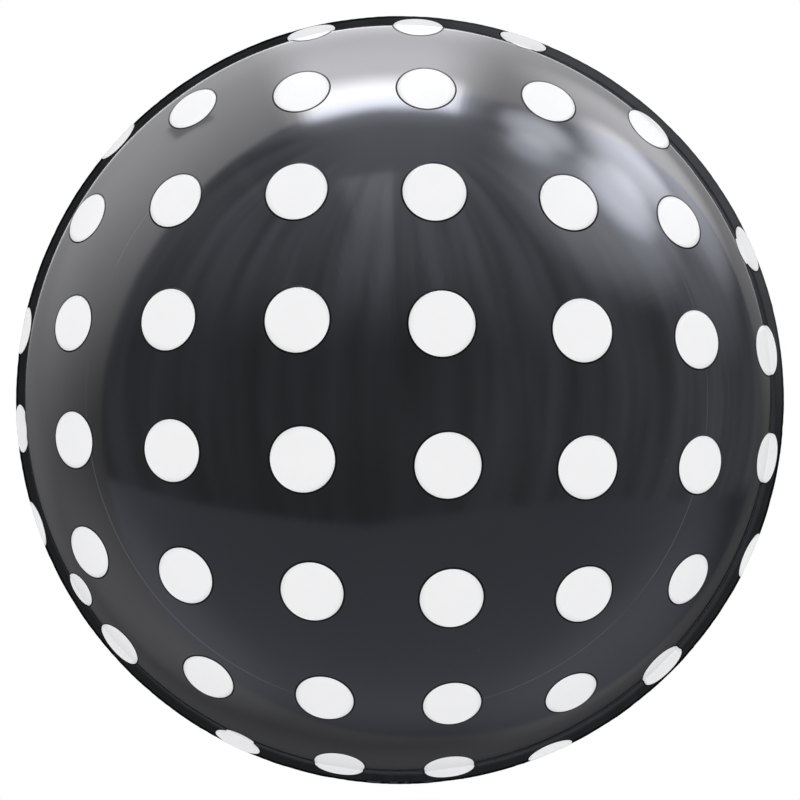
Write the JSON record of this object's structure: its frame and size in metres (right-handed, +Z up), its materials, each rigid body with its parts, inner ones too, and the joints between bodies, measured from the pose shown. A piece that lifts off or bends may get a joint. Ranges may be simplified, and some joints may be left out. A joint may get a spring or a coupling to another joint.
{
  "type": "bubble balloon",
  "caption": "Round two-ply bubble balloon, glossy black with white polka dots, with a welded rim, an inner filling valve and a folding tail.",
  "frame": {"origin": "lowest point of the welded rim, where the neck is tied", "axes": "+Z up through the ball, -Y out of the front ply, +X to the right seen from the front"},
  "size_m": [0.56, 0.54, 0.5609],
  "materials": {
    "black_film": "high gloss stretched film",
    "tail_film": "glossy unstretched film with small creases",
    "rim_weld": "satin heat seal",
    "white_ink": "smooth printed ink with a thin dark outline",
    "valve_film": "thin clear film",
    "valve_weld": "fused film",
    "release_coat": "dull release coat"
  },
  "bodies": {
    "envelope": {"front_panel": "black_film", "rear_panel": "black_film", "rim_seam": "rim_weld", "front_dots": "white_ink", "rear_dots": "white_ink", "neck_valve_front": "valve_film", "neck_valve_rear": "valve_film", "valve_release_coat": "release_coat"},
    "valve_tongue": {"tongue_front_film": "valve_film", "tongue_rear_film": "valve_film", "tongue_side_welds": "valve_weld"},
    "tail": {"tail_front_ply": "tail_film", "tail_rear_ply": "tail_film", "tail_side_welds": "rim_weld", "tail_end_weld": "rim_weld", "tail_valve_front": "valve_film", "tail_valve_rear": "valve_film"}
  },
  "joints": [
    {"name": "tail_fold", "type": "hinge", "parent": "envelope", "child": "tail", "pos_m": [0, 0, 0], "axis": [-1, 0, 0], "range_deg": [0, 200]},
    {"name": "valve_swing", "type": "hinge", "parent": "envelope", "child": "valve_tongue", "pos_m": [0, 0, 0.014], "axis": [1, 0, 0], "range_deg": [0, 160]}
  ]
}
